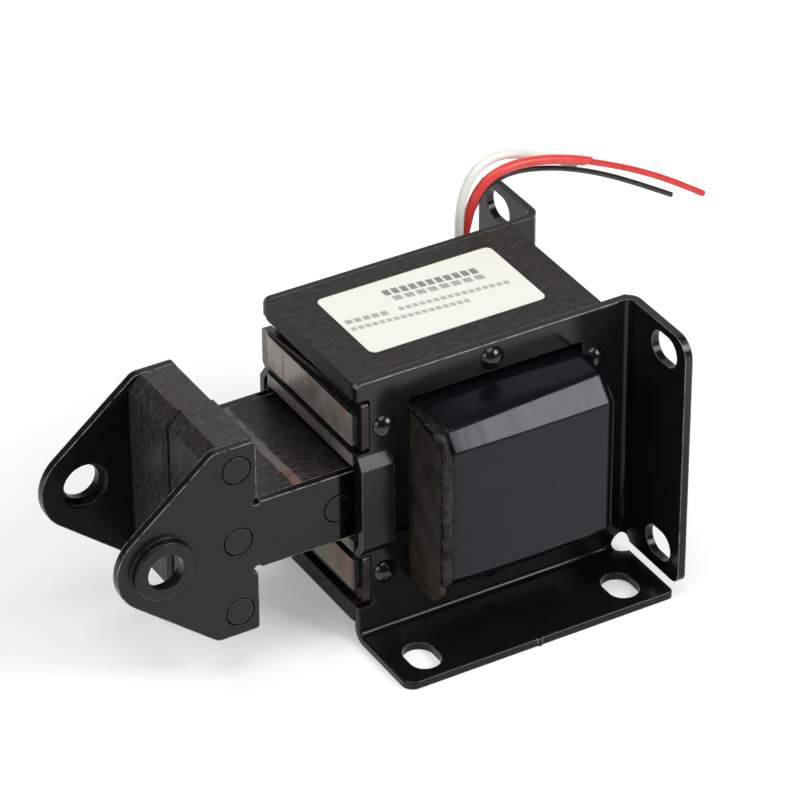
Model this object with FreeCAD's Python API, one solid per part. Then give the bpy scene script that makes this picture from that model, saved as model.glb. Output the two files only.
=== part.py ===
# AC traction solenoid with a T-shaped laminated plunger, as an assembly of separate pieces.
#
# Frame: millimetres, X along the plunger stroke, Z up.
#   The plunger head is on the -X side and is drawn in toward +X.
#   z = 0 is the underside of the two foot flanges.
#   x = 0, y = 0 is midway between the two front slots in the foot flanges.
#   "near" is the -Y side, "far" is the +Y side.
import FreeCAD, Part
import math
import os

V = FreeCAD.Vector

# ---- driving dimensions, mm ---------------------------------------------------------------
pole_x = -8.0             # plane of the ground pole faces
stack_length = 60.0       # core stack along X
stack_width = 36.0        # core stack along Y
stack_height = 60.0       # core stack along Z
stack_bottom = 4.4        # stack clears the mounting surface by this much
sheet = 1.8               # gauge of the two pressed side plates and of the plunger cheeks

window_front = 12.4       # coil window of the core, measured back from the pole plane
window_rear = 54.6
window_half = 23.0        # half height of the coil window
mouth_half = 9.4          # half height of the plunger mouth
slot_low = 12.3           # shading slot between the narrow and the broad pole strip
slot_high = 14.3
groove_low = 22.0         # groove above the broad pole strip
groove_high = 25.6
slot_depth = 4.2

ring_front_near = 1.35    # shading ring behind the pole plane; it sits slightly askew
ring_front_far = 0.1
ring_depth = 1.75
ring_low = 13.1
ring_high = 25.0          # the outer run dips towards the far side
ring_high_far = 22.8
ring_side = 1.9           # thickness of the side runs

plate_front = 0.3         # front edge of the side plates, behind the pole plane
flange_face = 66.0        # front face of the rear flanges
foot_reach = 40.0         # outer edge of the foot flanges from the centre plane
flange_reach = 41.0       # outer edge of the rear flanges
flange_low = 3.6          # lower edge of the rear flanges
bend_inner = 1.5          # inside bend radius of the plates
relief_radius = 3.3       # corner relief where the two bends meet
slot_width = 7.0          # M6, free fit
slot_length = 9.5
foot_slot_offset = 32.5   # slot centres from the centre plane
rear_slot_offset = 33.0
foot_slot_pitch = 49.0
rear_slot_pitch = 49.0
rear_slot_low = 10.0      # centre height of the lower slots in the rear flanges
nib_x = 24.4              # shear mark on the outer edge of the feet
nib_radius = 0.7
nib_rise = 0.3
notch_low = 12.8          # plate notches for the side runs of the shading rings
notch_high = 25.8
notch_rear = 3.4
bridge_rear = 8.0         # pressed-out bridge around the plunger mouth
bridge_flat = 9.7
bridge_foot = 12.2
plate_corner = 1.5        # upper front corner of the plates
die_roll = 0.5            # rounding of the plates' outer face along the top and front edges
foot_corner = 2.6         # front corner of the feet
foot_rear_corner = 1.5
flange_top_corner = 4.5
flange_low_corner = 2.5
window_corner = 0.8
notch_corner = 0.9
edge_break = 0.5          # chamfer along the stack's front edges

rivet_shank = 1.5         # frame rivet shank radius
rivet_head = 2.75
rivet_dome = 1.9
rivet_rows = ((6.6, 18.2), (32.4, 26.3), (57.4, 18.0))  # behind the pole plane, off the axis
shank_play = 0.02         # radial play of every rivet shank in its hole

plunger_back = -22.2      # rear face of the plunger head from the pole plane, extended
stem_half = 8.1
stem_end = 31.4           # rear end of the stem from the pole plane, extended
pack_half_width = 16.0
head_half = 23.2
head_front = -33.0
head_chamfer = 3.0
shoulder_x = -31.9        # where the sloped edges of the cheeks start
shoulder_radius = 3.0
tip_radius = 0.8
root_relief = 1.0         # relief notch where the stem meets the head
root_relief_z = 0.4
seam_gap = 0.03           # half the gap between the two packs
seam_chamfer = 0.3
pack_step = 0.5           # the head of the far pack stands this much further forward
eye_x = -44.3             # centre of the eye holes from the pole plane
eye_radius = 10.1
eye_hole = 4.1
eye_rise = 2.0            # the eye is drawn outward by this much
boss_radius = 6.9
boss_rim = 0.5
boss_root = 0.35
recess_radius = 5.0
recess_rim = 0.4
head_rivet = 3.0
head_rivet_groove = 0.35  # upset groove around each flush head
head_rivet_depth = 1.0
stem_rivet = 2.0          # shank radius
head_rivet_x = -26.6
head_rivet_pitch = 17.6
stem_rivet_front = -3.2
stem_rivet_rear = 20.0

tube_inner_y = 18.15      # guide tube of the coil former
tube_inner_z = 8.45
tube_wall = 0.75
former_front = 12.6
former_rear = 54.2
flange_sheet = 1.3
former_play = 0.05        # play between the pieces of the former
ring_play = 0.05
ring_corner = 1.4
coil_root = 21.4          # half height of the coil where it leaves the side plates
coil_shoulder = 18.7
coil_shoulder_y = 31.0
coil_flat = 15.8
coil_face = 33.5
wrap_thickness = 0.8
tape_inset = 0.35         # the edge tape lies this much below the wrap
tape_width = 0.8          # edge tape behind the front flange
board_side = 32.3         # the front flange has fuller corners below the axis
board_side_z = 19.2
board_low_y = 29.8
board_low_z = 22.0
board_bottom = 22.6
wrap_end_round = 0.5      # the wrap is drawn in at the rear rim
wrap_corner = 1.8
winding_corner = 1.5

label_front = 8.9
label_length = 42.3
label_near = -11.0
label_far = 12.6
label_sheet = 0.15
label_corner = 1.6

white_radius = 1.0        # the three leads and the sleeve over the red one
red_radius = 0.7
black_radius = 0.6
sleeve_inner = 0.8
sleeve_outer = 1.1
sleeve_turns = 7          # the sleeve covers this many runs of the red lead

# routes of the leads, in frame coordinates
white_points = [(42.6, 23.6, 54.0), (42.6, 24.0, 61.0), (43.4, 24.7, 69.0), (47.1, 25.8, 75.2),
                (54.1, 27.0, 76.6), (62.3, 28.2, 73.6), (69.9, 29.0, 69.6), (75.2, 29.2, 66.8)]
red_points = [(43.7, 26.2, 53.5), (44.9, 25.4, 60.4), (46.4, 25.0, 68.0), (50.1, 25.0, 72.6),
              (56.1, 25.0, 74.2), (63.7, 25.0, 73.4), (71.9, 25.0, 71.0), (80.9, 25.0, 67.1),
              (90.2, 25.0, 62.4), (98.7, 25.0, 57.2), (106.3, 25.0, 51.9)]
black_points = [(43.9, 28.9, 53.0), (46.4, 27.9, 59.4), (48.7, 27.2, 66.0), (52.1, 27.2, 69.8),
                (57.7, 27.2, 71.0), (65.1, 27.2, 69.8), (73.1, 27.2, 67.2), (81.9, 27.2, 63.1),
                (91.0, 27.2, 57.8), (99.3, 27.2, 52.6)]

axis_z = stack_bottom + stack_height / 2
half_width = stack_width / 2
plate_out = half_width + sheet
top_z = stack_bottom + stack_height
SIDES = (("near", -1), ("far", 1))

os.makedirs("parts", exist_ok=True)


# ---- helpers ------------------------------------------------------------------------------
def gx(distance):
    """Frame x of a distance measured back from the pole plane."""
    return pole_x + distance


def box(x0, x1, y0, y1, z0, z1):
    """Box between two corners, given in frame coordinates."""
    low = V(min(x0, x1), min(y0, y1), min(z0, z1))
    return Part.makeBox(abs(x1 - x0), abs(y1 - y0), abs(z1 - z0), low)


def rod_y(x, z, radius, y0, y1):
    """Round bar along Y."""
    low = min(y0, y1)
    return Part.makeCylinder(radius, abs(y1 - y0), V(x, low, z), V(0, 1, 0))


def prism_y(points, y0, y1):
    """Outline in the XZ plane extruded along Y."""
    low = min(y0, y1)
    ring = [V(x, low, z) for x, z in points]
    face = Part.Face(Part.makePolygon(ring + [ring[0]]))
    return face.extrude(V(0, abs(y1 - y0), 0))


def prism_x(points, x0, x1):
    """Outline in the YZ plane extruded along X."""
    ring = [V(x0, y, z) for y, z in points]
    face = Part.Face(Part.makePolygon(ring + [ring[0]]))
    return face.extrude(V(x1 - x0, 0, 0))


def one(shape):
    """The single solid of a shape, without leftover seams."""
    clean = shape.removeSplitter()
    if len(clean.Solids) == 1:
        return clean.Solids[0]
    return clean


def round_edges(shape, radius, test):
    """Fillet the straight edges that the test picks by their middle point and direction."""
    picked = []
    for edge in shape.Edges:
        if not isinstance(edge.Curve, Part.Line):
            continue
        a = edge.Vertexes[0].Point
        b = edge.Vertexes[-1].Point
        middle = (a + b) * 0.5
        along = b - a
        along.normalize()
        if test(middle, along):
            picked.append(edge)
    return shape.makeFillet(radius, picked)


def round_rim(shape, radius, y, fillet):
    """Fillet the full circles of one radius that lie at one y."""
    picked = [edge for edge in shape.Edges
              if isinstance(edge.Curve, Part.Circle) and near_to(edge.Curve.Radius, radius)
              and near_to(edge.Curve.Center.y, y)]
    return shape.makeFillet(fillet, picked)


def near_to(a, b, tolerance=0.05):
    return abs(a - b) < tolerance


def save(shape, name):
    shape.exportStep("parts/" + name + ".step")
    print(name, len(shape.Solids), "solid(s), volume", round(shape.Volume, 1))


# ---- core stack ---------------------------------------------------------------------------
def make_core():
    core = box(gx(0), gx(stack_length), -half_width, half_width, stack_bottom, top_z)
    low = axis_z - window_half
    high = axis_z + window_half
    wide = half_width + 1
    core = core.cut(box(gx(window_front), gx(window_rear), -wide, wide, low, high))
    low = axis_z - mouth_half
    high = axis_z + mouth_half
    core = core.cut(box(gx(-1), gx(window_front + 1), -wide, wide, low, high))
    for sign in (-1, 1):
        for a, b in ((slot_low, slot_high), (groove_low, groove_high)):
            z0 = axis_z + sign * a
            z1 = axis_z + sign * b
            core = core.cut(box(gx(-1), gx(slot_depth), -wide, wide, z0, z1))
    for x, z in rivet_places():
        core = core.cut(rod_y(x, z, rivet_shank + shank_play, -wide, wide))
    core = core.removeSplitter()
    picked = []
    for edge in core.Edges:
        box_of = edge.BoundBox
        flat_x = near_to(box_of.XMin, gx(0)) and near_to(box_of.XMax, gx(0))
        side = near_to(abs(box_of.YMin), half_width) and near_to(box_of.YMin, box_of.YMax)
        if flat_x and side and box_of.ZLength > 1:
            picked.append(edge)
    return one(core.makeChamfer(edge_break, picked))


def rivet_places():
    """Six through rivets hold the core stack between the side plates."""
    return [(gx(x), axis_z + sign * z) for sign in (-1, 1) for x, z in rivet_rows]


# ---- side plates --------------------------------------------------------------------------
def make_side_plate(sign):
    x_front = gx(plate_front)
    x_flange = gx(flange_face)
    outer = bend_inner + sheet
    web_in = half_width

    web_foot = prism_x(
        [(-web_in, top_z), (-plate_out, top_z), (-plate_out, sheet),
         (-foot_reach, sheet), (-foot_reach, 0.0), (-web_in, 0.0)],
        x_front, x_flange)

    def inside_foot_bend(p, d):
        return abs(d.x) > 0.9 and near_to(p.y, -plate_out) and near_to(p.z, sheet)

    def outside_foot_bend(p, d):
        return abs(d.x) > 0.9 and near_to(p.y, -web_in) and near_to(p.z, 0.0)

    web_foot = round_edges(web_foot, bend_inner, inside_foot_bend)
    web_foot = round_edges(web_foot, outer, outside_foot_bend)

    def foot_front(p, d):
        return abs(d.z) > 0.9 and near_to(p.y, -foot_reach) and near_to(p.x, x_front)

    def foot_rear(p, d):
        return abs(d.z) > 0.9 and near_to(p.y, -foot_reach) and near_to(p.x, x_flange)

    def top_front(p, d):
        return abs(d.y) > 0.9 and near_to(p.z, top_z) and near_to(p.x, x_front)

    web_foot = round_edges(web_foot, foot_corner, foot_front)
    web_foot = round_edges(web_foot, foot_rear_corner, foot_rear)
    web_foot = round_edges(web_foot, plate_corner, top_front)
    rolled = []
    for edge in web_foot.Edges:
        span = edge.BoundBox
        on_face = near_to(span.YMin, -plate_out) and near_to(span.YMax, -plate_out)
        if on_face and (near_to(span.XMax, x_front) or span.ZMin > top_z - plate_corner - 0.1):
            rolled.append(edge)
    web_foot = web_foot.makeFillet(die_roll, rolled)

    low = flange_low
    corner = box(x_flange - 3, x_flange + sheet, -plate_out, -web_in, low, top_z)
    corner = corner.fuse(box(x_flange, x_flange + sheet, -flange_reach, -web_in, low, top_z))
    corner = corner.removeSplitter()

    def inside_rear_bend(p, d):
        return abs(d.z) > 0.9 and near_to(p.y, -plate_out) and near_to(p.x, x_flange)

    def outside_rear_bend(p, d):
        return abs(d.z) > 0.9 and near_to(p.y, -web_in) and near_to(p.x, x_flange + sheet)

    def flange_top(p, d):
        return abs(d.x) > 0.9 and near_to(p.y, -flange_reach) and near_to(p.z, top_z)

    def flange_bottom(p, d):
        return abs(d.x) > 0.9 and near_to(p.y, -flange_reach) and near_to(p.z, low)

    corner = round_edges(corner, bend_inner, inside_rear_bend)
    corner = round_edges(corner, outer, outside_rear_bend)
    corner = round_edges(corner, flange_top_corner, flange_top)
    corner = round_edges(corner, flange_low_corner, flange_bottom)

    web_foot = web_foot.fuse(make_nib())
    plate = web_foot.fuse(corner).removeSplitter()
    plate = plate.cut(Part.makeSphere(relief_radius, V(x_flange, -plate_out + 0.5, sheet + 0.2)))

    # coil window, opened further forward behind the bridge at the plunger mouth
    y0 = -plate_out - 1
    y1 = -web_in + 1
    opening = box(gx(window_front), gx(window_rear - 0.2), y0, y1,
                  axis_z - window_half, axis_z + window_half)

    def across_plate(p, d):
        return abs(d.y) > 0.9

    opening = round_edges(opening, window_corner, across_plate)
    plate = plate.cut(opening)
    plate = plate.cut(box(gx(plate_front - 1), gx(window_front + 1), y0, y1,
                          axis_z - bridge_flat, axis_z + bridge_flat))

    # pressed-out bridge around the plunger mouth
    plate = plate.cut(box(gx(plate_front - 1), gx(bridge_rear), y0, y1,
                          axis_z - bridge_foot, axis_z + bridge_foot))
    step = plate_out + sheet
    b = bridge_foot
    c = bridge_flat
    z = axis_z
    bridge = prism_x(
        [(-plate_out, z + b), (-step, z + c), (-step, z - c), (-plate_out, z - b),
         (-web_in, z - b), (-plate_out, z - c), (-plate_out, z + c), (-web_in, z + b)],
        gx(plate_front), gx(bridge_rear))
    plate = plate.fuse(bridge).removeSplitter()

    # notches for the side runs of the shading rings
    for side in (-1, 1):
        z0 = axis_z + side * notch_low
        z1 = axis_z + side * notch_high
        notch = box(gx(plate_front - 1), gx(notch_rear), y0, y1, z0, z1)
        rear_x = gx(notch_rear)

        def notch_rear_edge(p, d):
            return abs(d.y) > 0.9 and near_to(p.x, rear_x)

        plate = plate.cut(round_edges(notch, notch_corner, notch_rear_edge))

    for x, z in rivet_places():
        plate = plate.cut(rod_y(x, z, rivet_shank + shank_play, y0, y1))
    for step in (0, 1):
        plate = plate.cut(slot_z(step * foot_slot_pitch, -foot_slot_offset))
        height = rear_slot_low + step * rear_slot_pitch
        plate = plate.cut(slot_x(x_flange, -rear_slot_offset, height))
    plate = one(plate)
    if sign > 0:
        plate = plate.mirror(V(0, 0, 0), V(0, 1, 0))
        plate = one(plate)
    return plate


def make_nib():
    """Small bulge left by the shear on the outer edge of a foot."""
    centre = V(nib_x, -foot_reach - nib_rise + nib_radius, 0)
    return Part.makeCylinder(nib_radius, sheet, centre, V(0, 0, 1))


def slot_z(x, y):
    """Slot through a foot flange, long way along Y."""
    r = slot_width / 2
    half = (slot_length - slot_width) / 2
    cut = box(x - r, x + r, y - half, y + half, -1, sheet + 1)
    for end in (-1, 1):
        cut = cut.fuse(Part.makeCylinder(r, sheet + 2, V(x, y + end * half, -1), V(0, 0, 1)))
    return cut


def slot_x(x, y, z):
    """Slot through a rear flange, long way along Y."""
    r = slot_width / 2
    half = (slot_length - slot_width) / 2
    cut = box(x - 1, x + sheet + 1, y - half, y + half, z - r, z + r)
    for end in (-1, 1):
        cut = cut.fuse(Part.makeCylinder(r, sheet + 2, V(x - 1, y + end * half, z), V(1, 0, 0)))
    return cut


# ---- rivets -------------------------------------------------------------------------------
def dome_rivet(x, z):
    """Through rivet with a domed head on each side plate."""
    reach = plate_out
    body = rod_y(x, z, rivet_shank, -reach - rivet_dome / 2, reach + rivet_dome / 2)
    bulge = (rivet_head ** 2 + rivet_dome ** 2) / (2 * rivet_dome)
    for sign in (-1, 1):
        base = sign * reach
        ball = Part.makeSphere(bulge, V(x, base + sign * (rivet_dome - bulge), z))
        keep = rod_y(x, z, rivet_head, base, base + sign * (rivet_dome + 1))
        body = body.fuse(ball.common(keep))
    return one(body)


def flush_rivet(x, z):
    """Plunger rivet; its ends are upset flush with the cheeks."""
    reach = pack_half_width + sheet
    body = rod_y(x, z, stem_rivet, -reach, reach)
    for sign in (-1, 1):
        body = body.fuse(rod_y(x, z, head_rivet, sign * (reach - head_rivet_depth), sign * reach))
    return one(body)


# ---- shading rings and coil ---------------------------------------------------------------
def make_ring(sign):
    """Closed copper loop around one broad pole strip."""
    y = half_width + ring_play + ring_side
    low, high = sorted((axis_z + sign * ring_low, axis_z + sign * ring_high))
    near = gx(ring_front_near)
    far = gx(ring_front_far)
    ring = [V(near, -y, low), V(near + ring_depth, -y, low), V(far + ring_depth, y, low),
            V(far, y, low)]
    outer = Part.Face(Part.makePolygon(ring + [ring[0]])).extrude(V(0, 0, high - low))
    dip = [(-y, axis_z + sign * ring_high), (y, axis_z + sign * ring_high_far),
           (y + 1, axis_z + sign * ring_high_far), (y + 1, axis_z + sign * (ring_high + 1)),
           (-y, axis_z + sign * (ring_high + 1))]
    outer = outer.cut(prism_x(dip, gx(-1), gx(slot_depth + 1)))

    def corners(p, d):
        return abs(d.x) > 0.9

    outer = round_edges(outer, ring_corner, corners)
    y = half_width + ring_play
    low = axis_z + sign * slot_high
    high = axis_z + sign * groove_low
    inner = box(gx(-1), gx(slot_depth + 1), -y, y, low, high)
    return one(outer.cut(inner))


def coil_outline(inset):
    """Outer outline of the coil seen along the plunger axis."""
    root = coil_root - inset
    shoulder = coil_shoulder - inset
    flat = coil_flat - inset * 0.6
    face = coil_face - inset
    shoulder_y = coil_shoulder_y - inset * 0.6
    quarter = [(half_width, root), (shoulder_y, shoulder), (face, flat)]
    points = [(y, axis_z + z) for y, z in quarter]
    points += [(y, axis_z - z) for y, z in reversed(quarter)]
    points += [(-y, axis_z - z) for y, z in quarter]
    points += [(-y, axis_z + z) for y, z in reversed(quarter)]
    return points


def soften(shape, radius):
    """Round the long edges of the coil that lie outside the side plates."""
    def long_edge(p, d):
        return abs(d.x) > 0.9 and abs(p.y) > half_width + 5
    return round_edges(shape, radius, long_edge)


def make_tube():
    y = tube_inner_y + tube_wall
    z = tube_inner_z + tube_wall
    tube = box(gx(0.4), gx(former_rear), -y, y, axis_z - z, axis_z + z)
    y = tube_inner_y
    z = tube_inner_z
    bore = box(gx(-1), gx(former_rear + 1), -y, y, axis_z - z, axis_z + z)
    return one(tube.cut(bore))


def make_former_flange(front, outline):
    """End board of the former."""
    rear = front + flange_sheet
    plate = soften(prism_x(outline, gx(front), gx(rear)), winding_corner)
    y = tube_inner_y + tube_wall + former_play
    z = tube_inner_z + tube_wall + former_play
    return one(plate.cut(box(gx(front - 1), gx(rear + 1), -y, y, axis_z - z, axis_z + z)))


def front_board_outline():
    """Like the winding above the axis, with fuller corners below."""
    upper = [(y, z) for y, z in coil_outline(wrap_thickness + former_play) if z > axis_z]
    lower = [(board_side, axis_z - board_side_z), (board_low_y, axis_z - board_low_z),
             (half_width, axis_z - board_bottom)]
    lower += [(-y, z) for y, z in reversed(lower)]
    middle = len(upper) // 2
    return upper[middle:] + upper[:middle] + lower


def make_winding():
    front = tape_front()
    rear = former_rear - flange_sheet - 2 * former_play
    inset = wrap_thickness + former_play
    body = soften(prism_x(coil_outline(inset), gx(front), gx(rear)), winding_corner)
    y = tube_inner_y + tube_wall + 2 * former_play
    z = tube_inner_z + tube_wall + 2 * former_play
    return one(body.cut(box(gx(front - 1), gx(rear + 1), -y, y, axis_z - z, axis_z + z)))


def sleeve_over_winding(inset, corner, front, rear, end_round=0.0):
    """Closed band around the winding, from its surface out to the given inset."""
    body = soften(prism_x(coil_outline(inset), gx(front), gx(rear)), corner)
    if end_round:
        rim = [edge for edge in body.Edges
               if near_to(edge.BoundBox.XMin, gx(rear)) and near_to(edge.BoundBox.XMax, gx(rear))]
        body = body.makeFillet(end_round, rim)
    core = prism_x(coil_outline(wrap_thickness), gx(front - 1), gx(rear + 1))
    return one(body.cut(soften(core, winding_corner)))


def tape_front():
    return former_front + flange_sheet + 2 * former_play


def make_wrap():
    """The wrap reaches over the rear flange, where it is drawn in."""
    front = tape_front() + tape_width + 2 * former_play
    return sleeve_over_winding(0, wrap_corner, front, former_rear, wrap_end_round)


def make_edge_tape():
    """Narrow turn of cloth tape over the front edge of the winding."""
    front = tape_front()
    return sleeve_over_winding(tape_inset, wrap_corner, front, front + tape_width)


def make_label():
    label = box(gx(label_front), gx(label_front + label_length), label_near, label_far,
                top_z, top_z + label_sheet)

    def corners(p, d):
        return abs(d.z) > 0.9

    return one(round_edges(label, label_corner, corners))


# ---- plunger ------------------------------------------------------------------------------
def head_outline():
    """Outline of one T-shaped lamination, seen along Y."""
    back = gx(plunger_back)
    front = gx(head_front)
    h = head_half
    c = head_chamfer
    s = stem_half
    end = gx(stem_end)
    return [(front, axis_z + h - c), (front + c, axis_z + h), (back, axis_z + h),
            (back, axis_z + s), (end, axis_z + s), (end, axis_z - s), (back, axis_z - s),
            (back, axis_z - h), (front + c, axis_z - h), (front, axis_z - h + c)]


def head_rivet_places():
    return [(gx(head_rivet_x), axis_z + step * head_rivet_pitch) for step in (-1, 0, 1)]


def stem_rivet_places():
    return [(gx(x), axis_z) for x in (stem_rivet_front, stem_rivet_rear)]


def plunger_holes():
    return head_rivet_places() + stem_rivet_places()


def make_pack(sign):
    """One of the two lamination packs that lie side by side."""
    shift = -pack_step if sign > 0 else 0.0
    points = [(x + (shift if x < gx(plunger_back) + 1 else 0.0), z) for x, z in head_outline()]
    pack = prism_y(points, sign * seam_gap, sign * pack_half_width)
    picked = []
    for edge in pack.Edges:
        on_seam = near_to(abs(edge.CenterOfMass.y), seam_gap)
        if on_seam and edge.CenterOfMass.x < gx(stem_end) - 1:
            picked.append(edge)
    pack = pack.makeChamfer(seam_chamfer, picked)
    for x, z in plunger_holes():
        pack = pack.cut(rod_y(x, z, stem_rivet + shank_play, -half_width, half_width))
    return one(pack)


def make_cheek(sign):
    """Side plate of the plunger with the eye; it runs along the stem into the coil."""
    back = gx(plunger_back)
    h = head_half
    s = stem_half
    end = gx(stem_end)
    ex = gx(eye_x)
    # the sloped edges run from the shoulder of the head tangent to the round eye end
    sx = gx(shoulder_x)
    reach = math.hypot(sx - ex, h)
    lean = math.atan2(h, sx - ex) + math.acos(eye_radius / reach)
    tx = ex + eye_radius * math.cos(lean)
    tz = eye_radius * math.sin(lean)
    half = [(tx, tz), (sx, h), (back, h), (back, s), (end, s)]
    points = [(x, axis_z + z) for x, z in half]
    points += [(x, axis_z - z) for x, z in reversed(half)]
    y0 = pack_half_width
    y1 = pack_half_width + sheet
    cheek = prism_y(points, -y1, -y0)

    def shoulder(p, d):
        return abs(d.y) > 0.9 and near_to(p.x, sx)

    def back_tip(p, d):
        return abs(d.y) > 0.9 and near_to(p.x, back) and abs(p.z - axis_z) > h - 1

    cheek = round_edges(cheek, shoulder_radius, shoulder)
    cheek = round_edges(cheek, tip_radius, back_tip)
    cheek = cheek.fuse(rod_y(ex, axis_z, eye_radius, -y1, -y0))
    for side in (-1, 1):
        z = axis_z + side * (s + root_relief_z)
        cheek = cheek.cut(rod_y(back, z, root_relief, -y1 - 1, -y0 + 1))
    # eye drawn outward: round boss outside, round recess of the same depth inside
    cheek = cheek.fuse(rod_y(ex, axis_z, boss_radius, -y1 - eye_rise, -y0))
    cheek = round_rim(cheek, boss_radius, -y1 - eye_rise, boss_rim)
    cheek = round_rim(cheek, boss_radius, -y1, boss_root)
    cheek = cheek.cut(rod_y(ex, axis_z, recess_radius, -y0 - eye_rise, -y0 + 1))
    cheek = round_rim(cheek, recess_radius, -y0, recess_rim)
    cheek = cheek.cut(rod_y(ex, axis_z, eye_hole, -y1 - eye_rise - 1, -y0 + 1))
    for x, z in plunger_holes():
        cheek = cheek.cut(rod_y(x, z, stem_rivet + shank_play, -y1 - 1, -y0 + 1))
        cheek = cheek.cut(rod_y(x, z, head_rivet + head_rivet_groove, -y1, -y1 + head_rivet_depth))
    cheek = one(cheek)
    if sign > 0:
        cheek = one(cheek.mirror(V(0, 0, 0), V(0, 1, 0)))
    return cheek


# ---- leads --------------------------------------------------------------------------------
def lead_curve(points, label):
    """Straight runs joined by tangent arcs."""
    pts = [V(*p) for p in points]
    edges = []
    radii = []
    start = pts[0]
    for i in range(1, len(pts) - 1):
        back = pts[i - 1] - pts[i]
        ahead = pts[i + 1] - pts[i]
        short = min(back.Length, ahead.Length)
        back.normalize()
        ahead.normalize()
        trim = 0.45 * short
        a = pts[i] + back * trim
        b = pts[i] + ahead * trim
        turn = math.pi - back.getAngle(ahead)
        radius = trim / math.tan(turn / 2)
        radii.append(round(radius, 1))
        bisect = back + ahead
        bisect.normalize()
        rise = math.hypot(radius, trim) - radius
        edges.append(Part.LineSegment(start, a).toShape())
        edges.append(Part.Arc(a, pts[i] + bisect * rise, b).toShape())
        start = b
    edges.append(Part.LineSegment(start, pts[-1]).toShape())
    length = sum(edge.Length for edge in edges)
    print(label, "bend radii", radii, "length", round(length, 1))
    return Part.Wire(edges)


def sweep(wire, radius):
    edge = wire.Edges[0]
    direction = edge.tangentAt(edge.FirstParameter)
    origin = edge.valueAt(edge.FirstParameter)
    circle = Part.makeCircle(radius, origin, direction)
    return wire.makePipeShell([Part.Wire([circle])], True, False)


def make_lead(points, radius, label):
    return one(sweep(lead_curve(points, label), radius))


def make_sleeve():
    points = red_points[:sleeve_turns]
    points[-1] = tuple((a + b) / 2 for a, b in zip(red_points[sleeve_turns - 1],
                                                   red_points[sleeve_turns]))
    points.insert(-1, red_points[sleeve_turns - 1])
    outer = sweep(lead_curve(points, "red_sleeve"), sleeve_outer)
    inner = sweep(lead_curve(points, "red_sleeve bore"), sleeve_inner)
    return one(outer.cut(inner))


# ---- build --------------------------------------------------------------------------------
save(make_core(), "core_laminations")
for name, sign in SIDES:
    save(make_side_plate(sign), "side_plate_" + name)
    save(make_pack(sign), "plunger_laminations_" + name)
    save(make_cheek(sign), "plunger_cheek_" + name)
save(Part.makeCompound([dome_rivet(x, z) for x, z in rivet_places()]), "frame_rivets")
save(make_ring(1), "shading_ring_upper")
save(make_ring(-1), "shading_ring_lower")
save(make_tube(), "former_guide_tube")
save(make_former_flange(former_front, front_board_outline()), "former_flange_front")
rear_board = coil_outline(wrap_thickness + former_play)
save(make_former_flange(former_rear - flange_sheet, rear_board), "former_flange_rear")
save(make_winding(), "coil_winding")
save(make_wrap(), "coil_outer_wrap")
save(make_edge_tape(), "coil_edge_tape")

save(make_label(), "rating_label")
save(Part.makeCompound([flush_rivet(x, z) for x, z in head_rivet_places()]), "plunger_head_rivets")
save(Part.makeCompound([flush_rivet(x, z) for x, z in stem_rivet_places()]), "plunger_stem_rivets")
save(make_lead(white_points, white_radius, "lead_white"), "lead_white")
save(make_lead(red_points, red_radius, "lead_red"), "lead_red")
save(make_lead(black_points, black_radius, "lead_black"), "lead_black")
save(make_sleeve(), "red_sleeve")
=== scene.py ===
import math
import random

import bmesh
import bpy
from mathutils import Matrix, Vector, noise


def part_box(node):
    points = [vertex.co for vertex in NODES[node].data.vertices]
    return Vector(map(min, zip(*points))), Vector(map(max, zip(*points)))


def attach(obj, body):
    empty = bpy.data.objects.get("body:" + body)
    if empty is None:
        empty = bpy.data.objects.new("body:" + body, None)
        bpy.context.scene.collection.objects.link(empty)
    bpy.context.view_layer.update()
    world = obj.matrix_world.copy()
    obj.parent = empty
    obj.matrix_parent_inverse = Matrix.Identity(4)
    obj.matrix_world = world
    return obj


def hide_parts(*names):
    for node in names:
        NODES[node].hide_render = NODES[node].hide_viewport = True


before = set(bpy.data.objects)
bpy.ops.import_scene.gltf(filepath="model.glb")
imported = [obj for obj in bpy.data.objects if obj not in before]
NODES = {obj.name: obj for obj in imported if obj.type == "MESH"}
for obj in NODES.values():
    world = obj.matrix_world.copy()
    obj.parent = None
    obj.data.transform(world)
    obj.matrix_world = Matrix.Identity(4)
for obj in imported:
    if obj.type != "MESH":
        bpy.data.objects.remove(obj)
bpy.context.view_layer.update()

# A laminated pull solenoid. Metres, in the frame of the CAD: X along the stroke, the plunger head
# on the -X side, -Y is the near side, z = 0 is the underside of the foot flanges. Outlines and
# routes are written in millimetres.
MM = 0.001
core_low, core_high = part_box("core_laminations")
pole_x = core_low.x
axis_z = (core_low.z + core_high.z) / 2
SHEET = 0.5 * MM            # one electrical steel sheet

bpy.context.scene.view_settings.view_transform = "Standard"
bpy.context.scene.view_settings.look = "None"


# ---- camera, light and floor --------------------------------------------------------------
def add_camera():
    """Seen from the front left and above, as the product picture was taken."""
    azimuth, elevation, roll = (math.radians(a) for a in (-30.17, 33.50, 0.30))
    aim = Vector((13.94, 0.0, 42.5)) * MM
    distance = 952.8 * MM
    level = math.cos(elevation)
    forward = Vector((-math.sin(azimuth) * level, math.cos(azimuth) * level, -math.sin(elevation)))
    data = bpy.data.cameras.new("camera")
    data.sensor_width = 36.0
    data.lens = 204.2
    data.clip_end = 20.0
    camera = bpy.data.objects.new("camera", data)
    bpy.context.scene.collection.objects.link(camera)
    turn = forward.to_track_quat("-Z", "Y").to_matrix() @ Matrix.Rotation(-roll, 3, "Z")
    camera.matrix_world = Matrix.Translation(aim - forward * distance) @ turn.to_4x4()
    bpy.context.scene.camera = camera


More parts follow.
